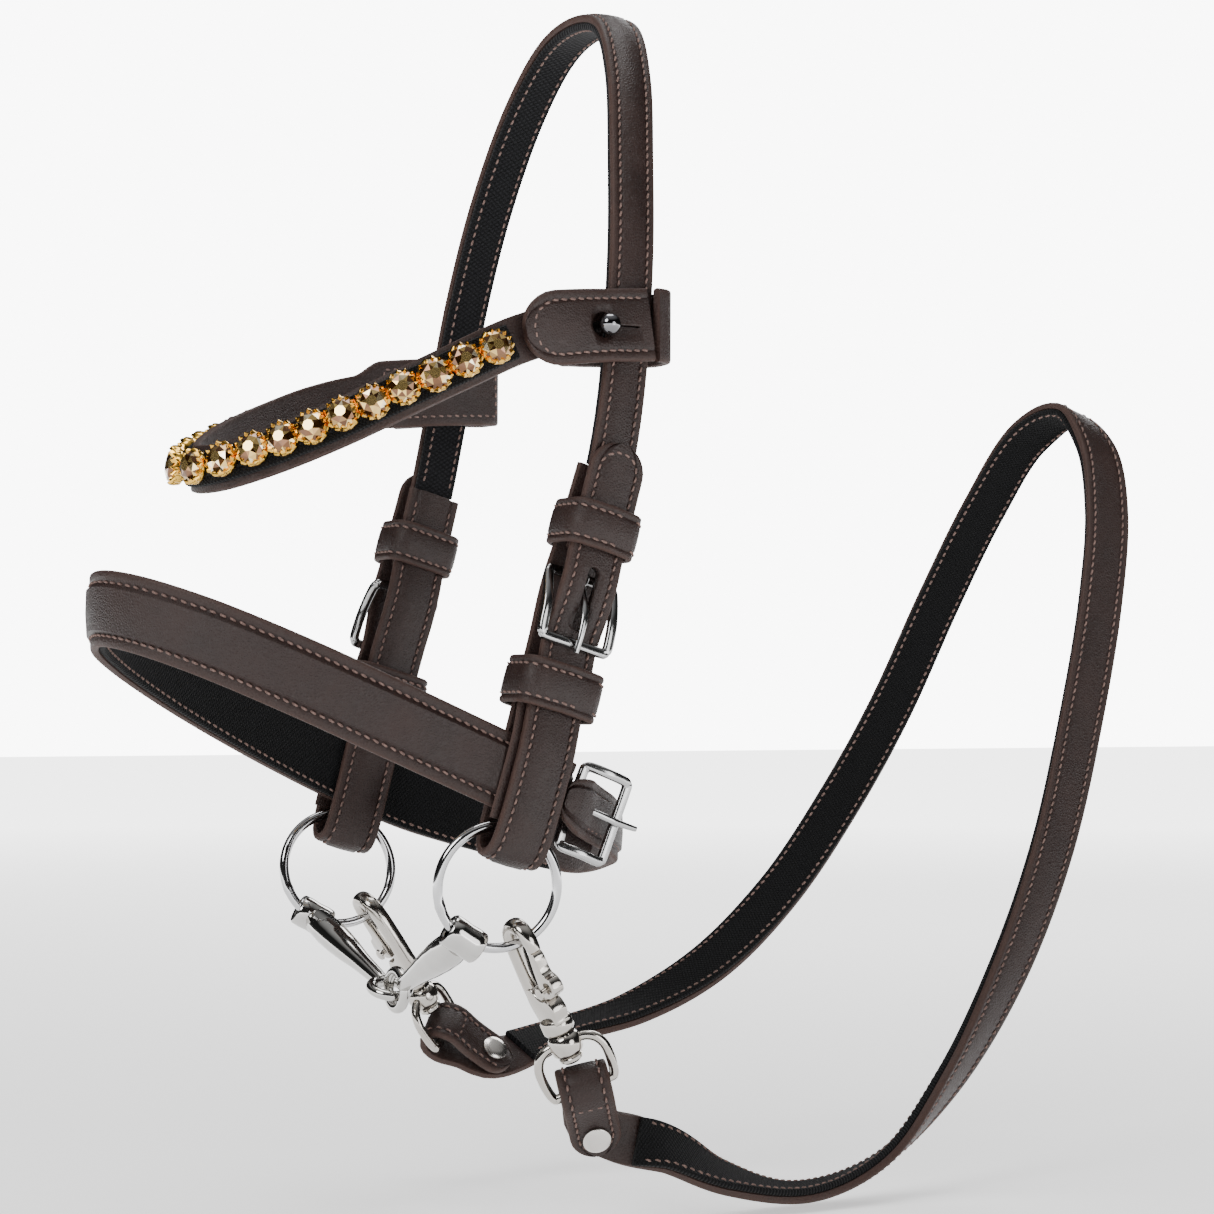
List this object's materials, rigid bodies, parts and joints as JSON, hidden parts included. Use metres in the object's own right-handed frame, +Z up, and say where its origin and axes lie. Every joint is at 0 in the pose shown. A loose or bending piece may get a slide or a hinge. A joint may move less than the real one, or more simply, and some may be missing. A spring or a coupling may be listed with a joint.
{
  "type": "toy horse bridle",
  "caption": "Small dark leather bridle for a toy horse: lined crown, jewelled browband, buckled cheekpieces, lined noseband, loose-ring jointed bit and a clip-on lined rein.",
  "frame": {"origin": "middle of the crownpiece's inner face, where it rests on the poll", "axes": "+X the horse's near side, -Y the front of the face, +Z up"},
  "size_m": [0.1046, 0.2824, 0.2838],
  "materials": {
    "dark_leather": "satin, dark brown, worn edges",
    "crown_webbing": "coarse woven webbing",
    "felt_webbing": "soft brushed webbing",
    "pad_fabric": "matt black backing",
    "gold_stones": "gold cups with faceted champagne stones",
    "gunmetal": "dark polished",
    "ring_steel": "polished",
    "bit_nickel": "polished nickel",
    "snap_nickel": "nickel plated casting",
    "buckle_steel": "lightly brushed",
    "rivet_nickel": "polished nickel"
  },
  "bodies": {
    "bridle": {"crown_strap": "dark_leather", "crown_lining": "crown_webbing", "browband_strap": "dark_leather", "browband_stud": "gunmetal", "browband_pad": "pad_fabric", "stone_chain": "gold_stones", "near_cheek_strap": "dark_leather", "near_noseband_carrier": "dark_leather", "near_upper_keeper": "dark_leather", "near_lower_keeper": "dark_leather", "near_buckle_frame": "buckle_steel", "far_cheek_strap": "dark_leather", "far_noseband_carrier": "dark_leather", "far_upper_keeper": "dark_leather", "far_lower_keeper": "dark_leather", "far_buckle_frame": "buckle_steel", "noseband_strap": "dark_leather", "noseband_lining": "felt_webbing", "noseband_guard": "dark_leather", "noseband_buckle_frame": "buckle_steel", "rein_leather": "dark_leather", "rein_lining": "felt_webbing", "near_rein_rivet": "rivet_nickel", "far_rein_rivet": "rivet_nickel"},
    "near_flap": {"browband_stud_flap": "dark_leather"},
    "near_tongue": {"near_buckle_tongue": "buckle_steel"},
    "far_tongue": {"far_buckle_tongue": "buckle_steel"},
    "nose_tongue": {"noseband_buckle_tongue": "buckle_steel"},
    "near_ring_body": {"near_ring": "ring_steel"},
    "near_arm_body": {"near_bit_arm": "bit_nickel"},
    "near_eye_body": {"near_snap_eye": "snap_nickel"},
    "near_hook_body": {"near_snap_hook": "snap_nickel", "near_gate_pin": "snap_nickel"},
    "near_gate_body": {"near_snap_gate": "snap_nickel"},
    "far_ring_body": {"far_ring": "ring_steel"},
    "far_arm_body": {"far_bit_arm": "bit_nickel"},
    "far_eye_body": {"far_snap_eye": "snap_nickel"},
    "far_hook_body": {"far_snap_hook": "snap_nickel", "far_gate_pin": "snap_nickel"},
    "far_gate_body": {"far_snap_gate": "snap_nickel"}
  },
  "joints": [
    {"name": "near_ring_swing", "type": "hinge", "parent": "bridle", "child": "near_ring_body", "pos_m": [0.0441, -0.04359, -0.19117], "axis": [0, 0.9613, -0.2756], "range_deg": [-3.5, 1.9]},
    {"name": "near_arm_swing", "type": "hinge", "parent": "near_ring_body", "child": "near_arm_body", "pos_m": [0.03966, -0.05442, -0.21554], "axis": [0, 0.9613, -0.2756], "range_deg": [-3.5, 3.5]},
    {"name": "near_snap_swing", "type": "hinge", "parent": "near_ring_body", "child": "near_eye_body", "pos_m": [0.04251, -0.04153, -0.21652], "axis": [0, 0.9613, -0.2756], "range_deg": [-3.5, 3.5]},
    {"name": "near_snap_swivel", "type": "hinge", "parent": "near_eye_body", "child": "near_hook_body", "pos_m": [0.04251, -0.04153, -0.21652], "axis": [0, 0.4384, -0.8988], "range_deg": [-8, 8]},
    {"name": "near_gate_press", "type": "hinge", "parent": "near_hook_body", "child": "near_gate_body", "pos_m": [0.04611, -0.03653, -0.22677], "axis": [0, -0.8988, -0.4384], "range_deg": [0, 20], "stiffness_Nm_per_rad": 0.01, "springref_deg": -20.05},
    {"name": "near_tongue_lift", "type": "hinge", "parent": "bridle", "child": "near_tongue", "pos_m": [0.04466, -0.02763, -0.13551], "axis": [0, -0.9613, 0.2756], "range_deg": [0, 48]},
    {"name": "far_ring_swing", "type": "hinge", "parent": "bridle", "child": "far_ring_body", "pos_m": [-0.0441, -0.04359, -0.19117], "axis": [0, 0.9613, -0.2756], "range_deg": [-3.5, 1.9]},
    {"name": "far_arm_swing", "type": "hinge", "parent": "far_ring_body", "child": "far_arm_body", "pos_m": [-0.04109, -0.05447, -0.21573], "axis": [0, 0.9613, -0.2756], "range_deg": [-3.5, 3.5]},
    {"name": "far_snap_swing", "type": "hinge", "parent": "far_ring_body", "child": "far_eye_body", "pos_m": [-0.039, -0.03977, -0.21508], "axis": [0, 0.9613, -0.2756], "range_deg": [-3.5, 3.5]},
    {"name": "far_snap_swivel", "type": "hinge", "parent": "far_eye_body", "child": "far_hook_body", "pos_m": [-0.039, -0.03977, -0.21508], "axis": [0, 0.5592, -0.829], "range_deg": [-8, 8]},
    {"name": "far_gate_press", "type": "hinge", "parent": "far_hook_body", "child": "far_gate_body", "pos_m": [-0.0426, -0.03339, -0.22453], "axis": [0, 0.829, 0.5592], "range_deg": [0, 20], "stiffness_Nm_per_rad": 0.01, "springref_deg": -20.05},
    {"name": "far_tongue_lift", "type": "hinge", "parent": "bridle", "child": "far_tongue", "pos_m": [-0.04466, -0.02763, -0.13551], "axis": [0, 0.9613, -0.2756], "range_deg": [0, 48]},
    {"name": "nose_tongue_lift", "type": "hinge", "parent": "bridle", "child": "nose_tongue", "pos_m": [0.0422, -0.0286, -0.1864], "axis": [0, -0.3808, -0.9247], "range_deg": [0, 60]},
    {"name": "stud_flap_open", "type": "hinge", "parent": "bridle", "child": "near_flap", "pos_m": [0.0484, -0.0104, -0.0774], "axis": [0, 0, 1], "range_deg": [0, 60]}
  ],
  "couplings": [
    {"joint": "far_ring_swing", "follows": "near_ring_swing", "ratio": 1},
    {"joint": "near_arm_swing", "follows": "near_ring_swing", "ratio": -1},
    {"joint": "near_snap_swing", "follows": "near_ring_swing", "ratio": -1},
    {"joint": "far_arm_swing", "follows": "near_ring_swing", "ratio": -1},
    {"joint": "far_snap_swing", "follows": "near_ring_swing", "ratio": -1}
  ]
}
